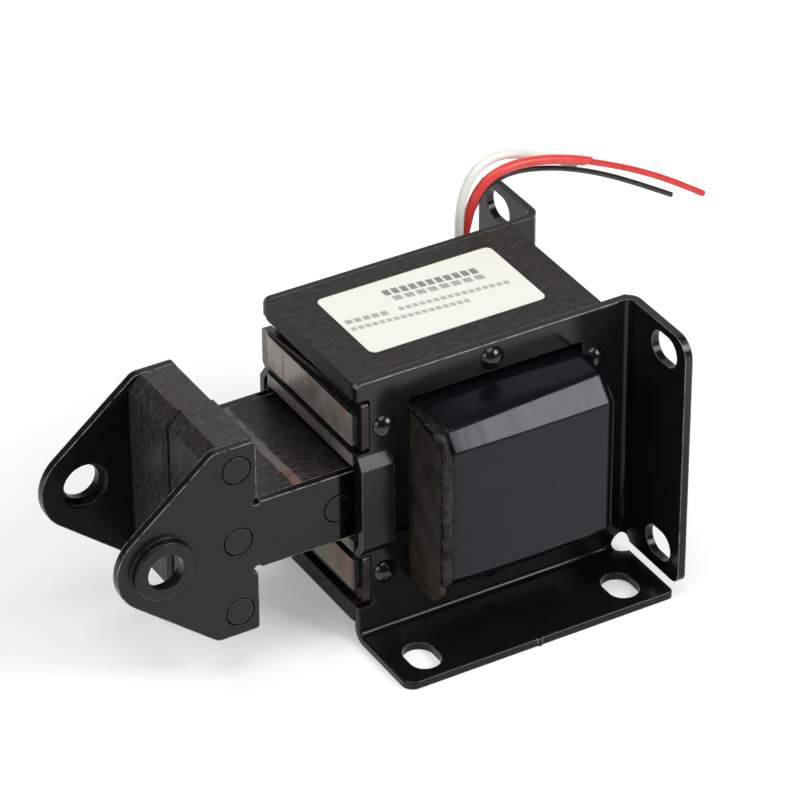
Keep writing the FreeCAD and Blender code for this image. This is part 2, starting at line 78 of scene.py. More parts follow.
def add_softbox(name, place, aim, size, power):
    """A white panel light of the given size (m) and power (W), turned towards aim."""
    data = bpy.data.lights.new(name, "AREA")
    data.shape = "RECTANGLE"
    data.size, data.size_y = size
    data.energy = power
    lamp = bpy.data.objects.new(name, data)
    bpy.context.scene.collection.objects.link(lamp)
    place = Vector(place)
    turn = (Vector(aim) - place).to_track_quat("-Z", "Y").to_matrix().to_4x4()
    lamp.matrix_world = Matrix.Translation(place) @ turn


def add_studio():
    """Large soft panels: overhead, front right, left, and a pale backdrop behind the part."""
    middle = (0.0, 0.0, 0.03)
    add_softbox("overhead", (-0.2, -0.05, 1.3), middle, (1.1, 1.0), 9.4)
    add_softbox("front_right", (0.65, -0.75, 0.75), middle, (0.60, 0.54), 9.6)
    add_softbox("left", (-1.1, -0.2, 0.5), middle, (0.7, 0.6), 3.6)
    add_softbox("backdrop", (1.1, 1.9, 0.85), (0.0, 0.0, 0.5), (2.6, 1.4), 10.5)
    world = bpy.data.worlds.new("studio")
    bpy.context.scene.world = world
    world.use_nodes = True
    back = world.node_tree.nodes["Background"]
    back.inputs["Color"].default_value = (1.0, 1.0, 1.0, 1.0)
    back.inputs["Strength"].default_value = 0.12


def add_floor():
    """A wide pale floor that glows a little, so that shadows on it stay pale."""
    half = 3.0
    mesh = bpy.data.meshes.new("floor")
    corners = [(-half, -half, 0), (half, -half, 0), (half, half, 0), (-half, half, 0)]
    mesh.from_pydata(corners, [], [(0, 1, 2, 3)])
    floor = bpy.data.objects.new("floor", mesh)
    bpy.context.scene.collection.objects.link(floor)
    s = Shade("floor_white")
    s.color(s.between(s.cloud(s.place(), 2.0, 2.0), (0.79, 0.79, 0.79), (0.81, 0.81, 0.81)))
    s.set("Roughness", 0.8)
    s.set("Specular IOR Level", 0.2)
    s.set("Emission Color", (1.0, 1.0, 1.0))
    s.set("Emission Strength", 0.31)
    mesh.materials.append(s.material)


# ---- material building --------------------------------------------------------------------
class Shade:
    """One node material, built up by small steps. Lengths are in metres, in object space."""

    def __init__(self, name):
        self.material = bpy.data.materials.new(name)
        self.material.use_nodes = True
        self.tree = self.material.node_tree
        self.tree.nodes.clear()
        self.out = self.tree.nodes.new("ShaderNodeOutputMaterial")
        self.shader = self.tree.nodes.new("ShaderNodeBsdfPrincipled")
        self.join(self.shader.outputs[0], self.out.inputs["Surface"])
        self.normal = None

    def join(self, a, b):
        self.tree.links.new(a, b)

    def feed(self, socket, value):
        """Gives a socket a value, or links it where the value comes from another node."""
        if isinstance(value, bpy.types.NodeSocket):
            self.join(value, socket)
        elif isinstance(value, (tuple, list)) and len(value) == 3 and socket.type == "RGBA":
            socket.default_value = (*value, 1.0)
        else:
            socket.default_value = value

    def set(self, name, value):
        self.feed(self.shader.inputs[name], value)

    def color(self, value):
        self.set("Base Color", value)

    def place(self, stretch=(1, 1, 1)):
        """Object coordinates, stretched so that a pattern is finer along an axis."""
        where = self.tree.nodes.new("ShaderNodeTexCoord")
        if tuple(stretch) == (1, 1, 1):
            return where.outputs["Object"]
        scale = self.tree.nodes.new("ShaderNodeMapping")
        scale.inputs["Scale"].default_value = stretch
        self.join(where.outputs["Object"], scale.inputs["Vector"])
        return scale.outputs["Vector"]

    def split(self):
        """The object coordinates x, y and z, one by one."""
        parts = self.tree.nodes.new("ShaderNodeSeparateXYZ")
        self.join(self.place(), parts.inputs[0])
        return parts.outputs

    def cloud(self, place, scale, detail=3.0, roughness=0.55):
        """Soft noise; scale is the number of blotches in a metre."""
        n = self.tree.nodes.new("ShaderNodeTexNoise")
        self.join(place, n.inputs["Vector"])
        n.inputs["Scale"].default_value = scale
        n.inputs["Detail"].default_value = detail
        n.inputs["Roughness"].default_value = roughness
        return n.outputs["Fac"]

    def grains(self, place, scale):
        """Distance to scattered points, for specks."""
        n = self.tree.nodes.new("ShaderNodeTexVoronoi")
        self.join(place, n.inputs["Vector"])
        n.inputs["Scale"].default_value = scale
        return n.outputs["Distance"]

    def sums(self, kind, a, b=0.0):
        """One step of arithmetic; kind is a Math node's operation."""
        n = self.tree.nodes.new("ShaderNodeMath")
        n.operation = kind
        self.feed(n.inputs[0], a)
        self.feed(n.inputs[1], b)
        return n.outputs[0]

    def spread(self, value, low, high, to_low=0.0, to_high=1.0):
        """Stretches low..high onto to_low..to_high, clamped."""
        n = self.tree.nodes.new("ShaderNodeMapRange")
        self.feed(n.inputs["Value"], value)
        n.inputs["From Min"].default_value = low
        n.inputs["From Max"].default_value = high
        n.inputs["To Min"].default_value = to_low
        n.inputs["To Max"].default_value = to_high
        return n.outputs[0]

    def between(self, share, a, b):
        """Colour a where share is 0 and b where it is 1."""
        n = self.tree.nodes.new("ShaderNodeMix")
        n.data_type = "RGBA"
        self.feed(n.inputs["Factor"], share)
        self.feed(n.inputs[6], a)
        self.feed(n.inputs[7], b)
        return n.outputs[2]

    def band(self, value, low, high, soft):
        """1 where value lies between low and high, fading over soft."""
        up = self.spread(value, low - soft, low + soft)
        down = self.spread(value, high - soft, high + soft, 1.0, 0.0)
        return self.sums("MULTIPLY", up, down)

    def island(self):
        """A random value for each separate sheet."""
        n = self.tree.nodes.new("ShaderNodeNewGeometry")
        return n.outputs["Random Per Island"]

    def round_normal(self, radius):
        """The surface normal with sharp edges rounded off."""
        n = self.tree.nodes.new("ShaderNodeBevel")
        n.samples = 6
        n.inputs["Radius"].default_value = radius
        return n.outputs["Normal"]

    def edges(self, radius, low, high):
        """1 along sharp edges, 0 on the flats."""
        flat = self.tree.nodes.new("ShaderNodeNewGeometry")
        dot = self.tree.nodes.new("ShaderNodeVectorMath")
        dot.operation = "DOT_PRODUCT"
        self.join(self.round_normal(radius), dot.inputs[0])
        self.join(flat.outputs["Normal"], dot.inputs[1])
        return self.spread(dot.outputs["Value"], 1.0 - low, 1.0 - high)

    def facing(self, axis):
        """How far the surface looks along an axis (0, 1, 2), from -1 to 1, in object space."""
        flat = self.tree.nodes.new("ShaderNodeNewGeometry")
        turn = self.tree.nodes.new("ShaderNodeVectorTransform")
        turn.vector_type = "NORMAL"
        turn.convert_from = "WORLD"
        turn.convert_to = "OBJECT"
        self.join(flat.outputs["Normal"], turn.inputs[0])
        parts = self.tree.nodes.new("ShaderNodeSeparateXYZ")
        self.join(turn.outputs[0], parts.inputs[0])
        return parts.outputs[axis]

    def clear_of(self, places):
        """1 away from round places given as (x, z, radius) in millimetres, 0 within them."""
        fade = 0.5
        x, _, z = self.split()
        share = 1.0
        for px, pz, radius in places:
            dx = self.sums("SUBTRACT", x, px * MM)
            dz = self.sums("SUBTRACT", z, pz * MM)
            square = self.sums("ADD", self.sums("MULTIPLY", dx, dx), self.sums("MULTIPLY", dz, dz))
            away = self.spread(square, (radius * MM) ** 2, ((radius + fade) * MM) ** 2)
            share = self.sums("MULTIPLY", share, away)
        return share

    def bump(self, height, depth):
        """Adds relief; depth is how far a height of 1 stands out, in metres."""
        n = self.tree.nodes.new("ShaderNodeBump")
        n.inputs["Distance"].default_value = depth
        self.join(height, n.inputs["Height"])
        if self.normal is not None:
            self.join(self.normal, n.inputs["Normal"])
        self.normal = n.outputs["Normal"]
        self.join(self.normal, self.shader.inputs["Normal"])


def enamel(name, tone, worn, wear, rough, shine, where=None, round_off=0.25, inside=0.0,
           shadow_from=None, roll_wear_and_highlight=None):
    """Glossy black stoving paint over steel: slow waves, dust specks, edges rubbed bright.
    where picks the edges that are rubbed, and the die-roll mask picks the edges a die rounded,
    with thin paint and a painted highlight; faces nearer than inside (mm) to the centre plane are
    duller, and everything behind the last argument (frame x) carries a painted shadow, dark and
    nearly without gloss."""
    s = Shade(name)
    mottle = s.cloud(s.place(), 260.0, 4.0)
    base = s.between(mottle, [c * 0.7 for c in tone], [c * 1.4 for c in tone])
    rubbed = s.sums("MULTIPLY", s.edges(0.36 * MM, 0.008, 0.07),
                    s.spread(s.cloud(s.place(), 520.0, 5.0, 0.7), 0.36, 0.54))
    rubbed = s.sums("MULTIPLY", rubbed, wear)
    if where:
        rubbed = s.sums("MULTIPLY", rubbed, where(s))
    # the die roll gets thin paint and a painted highlight, lighter where it faces upward
    if roll_wear_and_highlight:
        rubbed = s.sums("MAXIMUM", rubbed, s.sums("MULTIPLY", roll_wear_and_highlight(s), 0.45))
    specks = s.sums("MULTIPLY", s.spread(s.grains(s.place(), 300.0), 0.07, 0.03, 0.0, 0.55),
                    s.spread(s.cloud(s.place(), 150.0, 2.0), 0.50, 0.58))
    base = s.between(specks, base, (0.10, 0.095, 0.085))
    x, y, z = s.split()
    # the sheared top edges carry thin, dusty paint
    top = s.sums("MULTIPLY", s.spread(z, core_high.z - 0.3 * MM, core_high.z - 0.05 * MM), 0.8)
    base = s.between(top, base, (0.024, 0.024, 0.023))
    sheen = s.spread(s.cloud(s.place(), 120.0, 3.0), 0.3, 0.7, rough * 0.8, rough * 1.25)
    s.set("Roughness", s.sums("MAXIMUM", sheen, s.sums("MULTIPLY", top, 0.65)))
    inner = s.spread(s.sums("ABSOLUTE", y), (inside + 0.10) * MM, (inside + 0.02) * MM)
    gloss = s.spread(inner, 0.0, 1.0, shine, shine * 0.25)
    if roll_wear_and_highlight:
        # the paint ran down the webs and lies smoother towards the top
        web = s.spread(s.sums("ABSOLUTE", s.facing(1)), 0.8, 0.95)
        web = s.sums("MULTIPLY", web, s.spread(z, axis_z, core_high.z - 5 * MM, -0.15, 0.6))
        gloss = s.sums("MULTIPLY", gloss, s.sums("ADD", web, 1.0))
    # painted shadow: dark and nearly without gloss from this frame x on, where the bridge shades
    # the cheek and stem rivets
    if shadow_from is not None:
        painted_shadow = s.spread(x, shadow_from - 0.3 * MM, shadow_from + 0.3 * MM)
        base = s.between(painted_shadow, base, (0.0015, 0.0016, 0.0016))
        gloss = s.sums("MULTIPLY", gloss, s.spread(painted_shadow, 0.0, 1.0, 1.0, 0.05))
    s.color(s.between(rubbed, base, worn))
    s.set("Specular IOR Level", gloss)
    s.normal = s.round_normal(round_off * MM)
    s.bump(s.cloud(s.place(), 110.0, 2.0), 0.00004)
    return s.material


def plate_rub(s):
    """The plates are rubbed along their top edges, the flange rims and the bridge."""
    _, y, z = s.split()
    reach = s.sums("ABSOLUTE", y)
    top = s.sums("MULTIPLY", s.spread(z, core_high.z - 2.2 * MM, core_high.z - 1.8 * MM), 0.6)
    rims = s.spread(reach, 36.8 * MM, 38.0 * MM)
    bridge = s.spread(reach, core_high.y + 2.0 * MM, core_high.y + 2.6 * MM)
    bridge = s.sums("MULTIPLY", bridge, 0.45)
    return s.sums("MAXIMUM", s.sums("MAXIMUM", top, rims), s.sums("MAXIMUM", bridge, 0.08))


def die_roll_wear_and_highlight(s):
    """The die roll along the top of the plates, where the paint is thin, with a painted highlight
    where the roll faces upward.
    """
    z = s.split()[2]
    high = s.spread(z, core_high.z - 1.9 * MM, core_high.z - 1.5 * MM)
    # painted highlight: only the part of the roll that faces upward
    slope = s.band(s.facing(2), 0.30, 0.80, 0.12)
    patchy = s.spread(s.cloud(s.place(), 420.0, 4.0, 0.7), 0.36, 0.56, 0.25, 1.0)
    return s.sums("MULTIPLY", s.sums("MULTIPLY", high, slope), patchy)


def cheek_rub(s):
    """The cheeks are rubbed along their outline, not at the eye and the rivets."""
    # places as (distance behind the pole faces, height off the axis), with clear radii
    rivets = [(-26.6, -17.6), (-26.6, 0.0), (-26.6, 17.6), (-3.2, 0.0), (20.0, 0.0)]
    eye, rivet_clear, eye_clear = (-44.3, 0.0), 4.0, 8.0
    rounds = [(x, z, rivet_clear) for x, z in rivets] + [(*eye, eye_clear)]
    return s.clear_of([(pole_x / MM + x, axis_z / MM + z, radius) for x, z, radius in rounds])


def varnished_sheets(name, dark, light, brown, rough, shine):
    """Edges of a sheet stack under thin varnish: each sheet has its own tone, with fine grain."""
    s = Shade(name)
    tone = s.between(s.island(), dark, light)
    grain = s.cloud(s.place((0.5, 1, 1)), 900.0, 5.0, 0.7)
    tone = s.between(s.spread(grain, 0.44, 0.68), tone, [c * 3.0 for c in light])
    stain = s.spread(s.cloud(s.place((0.6, 1, 1)), 150.0, 5.0, 0.65), 0.54, 0.70, 0.0, 0.8)
    tone = s.between(stain, tone, brown)
    nick = s.spread(s.grains(s.place((0.35, 1, 1)), 260.0), 0.06, 0.02, 0.0, 0.5)
    s.color(s.between(nick, tone, (0.075, 0.07, 0.06)))
    s.set("Roughness", s.spread(grain, 0.3, 0.7, rough * 0.8, rough * 1.2))
    s.set("Specular IOR Level", s.spread(s.facing(0), -0.9, -0.5, shine * 0.45, shine))
    s.normal = s.round_normal(0.18 * MM)
    s.bump(grain, 0.00003)
    return s.material


def plunger_varnish(name):
    """Like the core's varnish, with a rubbed, rusty strip across the stem near the head and
    painted shade towards the mouth.
    """
    s = Shade(name)
    tone = s.between(s.island(), (0.009, 0.009, 0.0085), (0.015, 0.0148, 0.014))
    grain = s.cloud(s.place((0.45, 1, 0.45)), 1500.0, 5.0, 0.75)
    tone = s.between(s.spread(grain, 0.46, 0.72), tone, (0.074, 0.073, 0.068))
    stain = s.spread(s.cloud(s.place(), 130.0, 4.0), 0.52, 0.70, 0.0, 0.6)
    tone = s.between(stain, tone, (0.024, 0.018, 0.011))
    x, y, _ = s.split()
    ragged = s.sums("SUBTRACT", s.cloud(s.place(), 500.0, 3.0), 0.5)
    ragged = s.sums("MULTIPLY", ragged, 1.2 * MM)
    strip_start, strip_end = pole_x - 12.6 * MM, pole_x - 10.5 * MM
    strip = s.band(s.sums("ADD", x, ragged), strip_start, strip_end, 0.2 * MM)
    worn = s.spread(s.cloud(s.place(), 300.0, 3.0), 0.3, 0.5, 0.35, 0.85)
    strip = s.sums("MULTIPLY", strip, worn)
    near_part = s.spread(y, -12.5 * MM, -8.5 * MM, 1.0, 0.0)
    rust = s.sums("MAXIMUM", near_part, s.spread(s.cloud(s.place(), 330.0, 4.0), 0.58, 0.70))
    bare = s.between(rust, (0.16, 0.15, 0.14), (0.20, 0.11, 0.08))
    # painted shade: darker and less glossy where the stem runs into the mouth, most on its far
    # half
    aslant = s.sums("ADD", x, s.sums("MULTIPLY", y, 0.25))
    mouth_shade = s.spread(aslant, pole_x - 13 * MM, pole_x + 2 * MM)
    tone = s.between(s.sums("MULTIPLY", mouth_shade, 0.9), tone, (0.0035, 0.0038, 0.0036))
    s.color(s.between(strip, tone, bare))
    s.set("Roughness", s.spread(grain, 0.3, 0.7, 0.30, 0.46))
    gloss = s.spread(s.facing(2), 0.3, 0.7, 0.26, 0.46)
    s.set("Specular IOR Level", s.sums("MULTIPLY", gloss, s.spread(mouth_shade, 0.0, 1.0, 1.0, 0.3)))
    s.normal = s.round_normal(0.12 * MM)
    s.bump(grain, 0.00002)
    return s.material


def ground_steel(name):
    """Ground pole faces: brownish bare steel with rust red stains and grinding lines."""
    s = Shade(name)
    lines = s.cloud(s.place((1, 1, 0.10)), 1500.0, 3.0)
    bare = s.between(s.spread(lines, 0.3, 0.7), (0.27, 0.245, 0.22), (0.37, 0.34, 0.31))
    dull = s.spread(s.cloud(s.place(), 140.0, 4.0), 0.44, 0.68)
    bare = s.between(dull, bare, (0.17, 0.145, 0.115))
    z = s.split()[2]
    # painted shade: the pole faces below the axis are darker and browner
    low_down = s.spread(z, axis_z - 6 * MM, axis_z + 2 * MM, 0.75, 0.0)
    bare = s.between(low_down, bare, (0.135, 0.11, 0.07))
    stain = s.cloud(s.place((1, 1.6, 0.8)), 210.0, 5.0, 0.7)
    rust = s.spread(stain, 0.55, 0.64, 0.0, 0.75)
    s.color(s.between(rust, bare, (0.27, 0.05, 0.04)))
    s.set("Metallic", s.spread(rust, 0.0, 1.0, 0.35, 0.0))
    s.set("Roughness", s.spread(dull, 0.0, 1.0, 0.42, 0.6))
    s.bump(lines, 0.00001)
    return s.material


def copper_under_varnish(name):
    """Copper ring dipped in black varnish; only a few spots of metal shine through."""
    s = Shade(name)
    glint = s.sums("MULTIPLY", s.spread(s.cloud(s.place(), 900.0, 4.0, 0.7), 0.58, 0.66),
                   s.spread(s.cloud(s.place(), 160.0, 2.0), 0.52, 0.62))
    tone = s.between(glint, (0.006, 0.0058, 0.0054), (0.24, 0.18, 0.07))
    y = s.split()[1]
    # ground with the pole where it comes flush, on the far side
    flush = s.sums("MULTIPLY", s.spread(y, core_high.y - 1.0 * MM, core_high.y),
                   s.spread(s.facing(0), -0.7, -0.9))
    tone = s.between(flush, tone, (0.24, 0.215, 0.19))
    # rubbed brown along the outside of the near run
    outside = s.sums("MULTIPLY", s.spread(y, core_low.y - 1.2 * MM, core_low.y - 1.8 * MM),
                     s.spread(s.cloud(s.place(), 260.0, 4.0), 0.36, 0.58, 0.2, 0.9))
    s.color(s.between(outside, tone, (0.038, 0.027, 0.021)))
    s.set("Metallic", s.spread(glint, 0.0, 1.0, 0.0, 0.9))
    s.set("Roughness", s.spread(s.cloud(s.place(), 500.0, 2.0), 0.3, 0.7, 0.20, 0.36))
    gloss = s.sums("MULTIPLY", s.spread(s.facing(1), -0.5, -0.9, 0.5, 0.2),
                   s.spread(s.facing(0), -0.6, -0.9, 1.0, 0.15))
    s.set("Specular IOR Level", gloss)
    s.normal = s.round_normal(0.35 * MM)
    s.bump(s.cloud(s.place(), 420.0, 2.0), 0.00006)
    return s.material


def pressboard(name):
    """Rough varnished board: nearly black, brown where the varnish ran thin, with fibres."""
    s = Shade(name)
    blot = s.cloud(s.place(), 170.0, 5.0, 0.65)
    fibre = s.cloud(s.place((1, 1, 0.3)), 1500.0, 4.0, 0.7)
    low_down = s.spread(s.split()[2], core_low.z + 12 * MM, core_low.z + 22 * MM, 0.75, 0.0)
    thin = s.spread(blot, 0.38, 0.66)
    tone = s.between(thin, (0.0115, 0.0108, 0.0084), (0.025, 0.0218, 0.0158))
    tone = s.between(low_down, tone, (0.024, 0.0155, 0.0095))
    s.color(s.between(s.spread(fibre, 0.5, 0.75, 0.0, 0.35), tone, (0.040, 0.036, 0.028)))
    s.set("Roughness", s.spread(blot, 0.35, 0.65, 0.42, 0.65))
    s.set("Specular IOR Level", 0.27)
    s.bump(fibre, 0.00008)
    s.bump(blot, 0.00012)
    return s.material


def tape_film(name):
    """Glossy black film tape, drawn tight, with faint stretch lines round the coil."""
    s = Shade(name)
    stretch = s.cloud(s.place((1.0, 0.12, 0.12)), 420.0, 3.0)
    broad = s.cloud(s.place((0.6, 1.0, 1.0)), 60.0, 2.0)
    s.color(s.between(broad, (0.0036, 0.0038, 0.0048), (0.0052, 0.0054, 0.0066)))
    s.set("Roughness", s.spread(stretch, 0.3, 0.7, 0.15, 0.24))
    # the rear rim turns into the shade of the flange
    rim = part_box("coil_outer_wrap")[1].x
    gloss = s.spread(s.split()[0], rim - 1.9 * MM, rim - 1.4 * MM, 0.265, 0.0)
    s.set("Specular IOR Level", gloss)
    s.set("Specular Tint", (0.92, 0.94, 1.0))
    s.bump(broad, 0.0002)
    s.bump(stretch, 0.000012)
    return s.material


def cloth_tape(name):
    """Cloth tape soaked in black varnish, glossy where it ran and dull on the weave."""
    s = Shade(name)
    weave = s.cloud(s.place((1.0, 0.5, 0.5)), 1900.0, 3.0)
    lump = s.cloud(s.place(), 300.0, 4.0)
    thin = s.spread(lump, 0.48, 0.74)
    s.color(s.between(thin, (0.0042, 0.0041, 0.0040), (0.019, 0.017, 0.0135)))
    s.set("Roughness", s.spread(lump, 0.3, 0.7, 0.22, 0.5))
    s.set("Specular IOR Level", s.spread(s.cloud(s.place(), 210.0, 4.0), 0.40, 0.60, 0.10, 0.32))
    s.bump(weave, 0.00005)
    s.bump(lump, 0.0007)
    return s.material


def paper_label(name):
    """Blank rating label: off-white paper with rows of grey blocks where a real one is printed."""
    s = Shade(name)
    low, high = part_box("rating_label")
    x, y, _ = s.split()
    paper = s.between(s.cloud(s.place(), 90.0, 3.0), (0.82, 0.83, 0.755), (0.865, 0.87, 0.805))
    fibre = s.cloud(s.place(), 1800.0, 3.0)
    ink = 0.0
    slope = 0.10                # the rows run slightly askew on the paper
    askew = s.sums("ADD", y, s.sums("MULTIPLY", s.sums("SUBTRACT", x, low.x), slope))
    # rows: middle across, from and to along the label, half height, block pitch, darkness
    rows = ((20.1, 13.4, 35.4, 1.10, 2.00, 0.90), (17.4, 14.2, 35.6, 0.90, 2.675, 0.66),
            (13.0, 1.0, 11.0, 0.80, 2.00, 0.66), (13.2, 13.2, 38.8, 0.65, 1.60, 0.58),
            (10.1, 0.8, 28.0, 0.65, 1.60, 0.58))
    for across, start, stop, half, pitch, dark in rows:
        row = s.band(askew, low.y + (across - half) * MM, low.y + (across + half) * MM, 0.1 * MM)
        run = s.band(x, low.x + start * MM, low.x + stop * MM, 0.15 * MM)
        along = s.sums("SUBTRACT", x, low.x + start * MM)
        step = s.sums("FRACT", s.sums("DIVIDE", along, pitch * MM))
        run = s.sums("MULTIPLY", run, s.band(step, 0.10, 0.84, 0.06))
        run = s.sums("MULTIPLY", run, dark)
        ink = s.sums("MAXIMUM", ink, s.sums("MULTIPLY", row, run))
    ink = s.sums("MULTIPLY", ink, s.spread(fibre, 0.3, 0.7, 0.75, 1.0))
    tone = s.between(ink, paper, (0.10, 0.10, 0.11))
    # a line of yellowed glue along the far edge
    glue = s.spread(y, high.y - 0.35 * MM, high.y - 0.05 * MM, 0.0, 0.8)
    s.color(s.between(glue, tone, (0.50, 0.50, 0.20)))
    s.set("Roughness", 0.5)
    s.set("Specular IOR Level", 0.3)
    s.bump(fibre, 0.00001)
    return s.material


def insulation(name, tone, shade, rough):
    """Extruded lead insulation: slightly uneven tone, fine draw lines, a little dust."""
    s = Shade(name)
    soft = s.cloud(s.place(), 240.0, 3.0)
    s.color(s.between(s.spread(soft, 0.3, 0.7), tone, shade))
    draw = s.cloud(s.place(), 500.0, 3.0)
    s.set("Roughness", s.spread(draw, 0.3, 0.7, rough * 0.8, rough * 1.25))
    s.set("Subsurface Weight", 0.06)
    s.set("Subsurface Scale", 0.0008)
    s.bump(s.cloud(s.place(), 1300.0, 2.0), 0.00003)
    return s.material


def bare_copper(name):
    """Clean copper wire, slightly uneven in tone."""
    s = Shade(name)
    s.color(s.between(s.cloud(s.place(), 2200.0, 3.0), (0.55, 0.22, 0.10), (0.80, 0.42, 0.24)))
    s.set("Metallic", 1.0)
    s.set("Roughness", 0.35)
    return s.material


def moulding(name):
    """Dark brown, nearly black moulding with a dull grain."""
    s = Shade(name)
    grain = s.cloud(s.place(), 1400.0, 3.0)
    s.color(s.between(grain, (0.0035, 0.0032, 0.0030), (0.0070, 0.0062, 0.0055)))
    s.set("Roughness", s.spread(grain, 0.3, 0.7, 0.4, 0.55))
    s.set("Specular IOR Level", 0.08)
    s.normal = s.round_normal(0.15 * MM)
    s.bump(grain, 0.00003)
    return s.material


# ---- mesh helpers -------------------------------------------------------------------------
def add_piece(name, mesh, body, slot, materials, *replaced):
    """A drawn piece that rides on a body, in place of the CAD nodes it replaces."""
    piece = bpy.data.objects.new(name, mesh)
    bpy.context.scene.collection.objects.link(piece)
    for material in materials:
        mesh.materials.append(material)
    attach(piece, body)
    if replaced:
        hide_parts(*replaced)
    return piece


def dress(node, material):
    """Gives a CAD node its finish."""
    slots = NODES[node].data.materials
    slots.clear()
    slots.append(material)
    for face in NODES[node].data.polygons:
        face.material_index = 0


def tube(bm, rings, smooth=True):
    """Joins closed rings of vertices, each to the next."""
    for a, b in zip(rings, rings[1:]):
        for k in range(len(a)):
            n = (k + 1) % len(a)
            bm.faces.new((a[k], a[n], b[n], b[k])).smooth = smooth


def finished(bm, name):
    """The mesh that was built in bm, with its faces turned outward."""
    bmesh.ops.recalc_face_normals(bm, faces=bm.faces)
    mesh = bpy.data.meshes.new(name)
    bm.to_mesh(mesh)
    bm.free()
    return mesh


def rounded(points, radius, steps, shoulder=None):
    """Outline with its corners rounded by arcs that are tangent to both sides. shoulder gives a
    distance across and the radius for the corners that lie about there."""
    near_enough = 1.5
    out = []
    count = len(points)
    for i in range(count):
        before = Vector(points[i - 1])
        here = Vector(points[i])
        after = Vector(points[(i + 1) % count])
        a = (before - here).normalized()
        b = (after - here).normalized()
        half = a.angle(b) / 2
        soft = radius
        if shoulder and abs(abs(here.x) - shoulder[0]) < near_enough:
            soft = shoulder[1]
        # an arc takes up less than half of either side
        longest = 0.45 * min((before - here).length, (after - here).length)
        reach = min(soft / math.tan(half), longest)
        r = reach * math.tan(half)
        centre = here + (a + b).normalized() * (r / math.sin(half))
        start = here + a * reach - centre
        sweep = start.angle_signed(here + b * reach - centre)
        for k in range(steps + 1):
            turn = Matrix.Rotation(-sweep * k / steps, 2)
            out.append(centre + turn @ start)
    return out


def even(points, step, like=None):
    """A closed outline walked at even steps, as many on each side as the outline like has."""
    like = like or points
    out = []
    count = len(points)
    for i in range(count):
        a = Vector(points[i])
        b = Vector(points[(i + 1) % count])
        parts = max(1, round((like[(i + 1) % count] - like[i]).length / step))
        for k in range(parts):
            out.append(a.lerp(b, k / parts))
    return out


# ---- sheet stacks -------------------------------------------------------------------------
def core_outline():
    """One C-shaped core sheet as (distance behind the pole faces, height off the axis)."""
    length, half = 60.0, 30.0
    window_front, window_rear, window_half = 12.4, 54.6, 23.0
    mouth, slot_low, slot_high = 9.4, 12.3, 14.3
    groove_low, groove_high, depth = 22.0, 25.6, 4.2
    upper = [(window_front, window_half), (window_front, mouth), (0, mouth), (0, slot_low),
             (depth, slot_low), (depth, slot_high), (0, slot_high), (0, groove_low),
             (depth, groove_low), (depth, groove_high), (0, groove_high), (0, half)]
    lower = [(x, -z) for x, z in reversed(upper)]
    return lower + [(window_rear, -window_half), (window_rear, window_half)] + upper + \
        [(length, half), (length, -half)]


def plunger_outline():
    """One T-shaped plunger sheet, measured like the core sheet."""
    back, front, stem_end = -22.2, -33.0, 31.4
    head, stem, chamfer = 23.2, 8.1, 3.0
    half = [(front, head - chamfer), (front + chamfer, head), (back, head), (back, stem),
            (stem_end, stem)]
    return half + [(x, -z) for x, z in reversed(half)]


def sheet_stack(outline, y_start, y_end, wobble, setback, paint):
    """A mesh of many thin sheets. wobble is how far each sheet's edges lie inside the outline,
    setback how far a sheet is cut back at the front (by its number and how many there are), and
    paint picks the material of an edge."""
    random.seed(len(outline) + round(abs(y_start) * 10000))
    count = round(abs(y_end - y_start) / SHEET)
    pitch = (y_end - y_start) / count
    gap = 0.01                  # share of the pitch that is left open on each side of a sheet
    front_reach = 4.0           # the front of the stack, where setback counts
    xs = [x for x, z in outline]
    middle = (min(xs) + max(xs)) / 2
    bm = bmesh.new()
    for i in range(count):
        shift_x = random.uniform(-wobble, wobble)
        shrink = random.uniform(0.0, wobble)
        y0 = y_start + pitch * (i + gap)
        y1 = y_start + pitch * (i + 1 - gap)
        ends = []
        for y in (y0, y1):
            ring = []
            for x, z in outline:
                dx = setback(i, count) if x < min(xs) + front_reach else 0.0
                dz = -math.copysign(shrink, z)
                away = 0.0 if x == 0 else shift_x * (x - middle) / (max(xs) - middle)
                ring.append(bm.verts.new((pole_x + (x + dx) * MM + away * MM, y,
                                          axis_z + (z + dz) * MM)))
            ends.append(ring)
        lower, upper = ends
        bm.faces.new(lower)
        bm.faces.new(list(reversed(upper)))
        for k in range(len(outline)):
            n = (k + 1) % len(outline)
            face = bm.faces.new((lower[n], lower[k], upper[k], upper[n]))
            face.material_index = paint(outline[k], outline[n])
    return finished(bm, "sheets")


def add_core_sheets():
    """The core's sheets, varnished all over but for the ground pole faces."""
    ground_high = 22.0          # the poles are ground up to this height off the axis

    def paint(a, b):
        """Picks the ground steel for an edge that lies on a pole face."""
        ground = a[0] == 0 and b[0] == 0 and max(abs(a[1]), abs(b[1])) <= ground_high
        return 1 if ground else 0

    def setback(i, count):
        """The outermost sheets on both sides stand back a little."""
        return max(0.0, 0.16 - 0.1 * min(i, count - 1 - i))

    mesh = sheet_stack(core_outline(), core_low.y, core_high.y, 0.02, setback, paint)
    skins = [varnished_sheets("core_varnish", (0.011, 0.011, 0.0105), (0.016, 0.016, 0.015),
                              (0.028, 0.020, 0.012), 0.50, 0.22),
             ground_steel("ground_pole")]
    add_piece("core_sheets", mesh, "frame", "varnished_core", skins, "core_laminations")


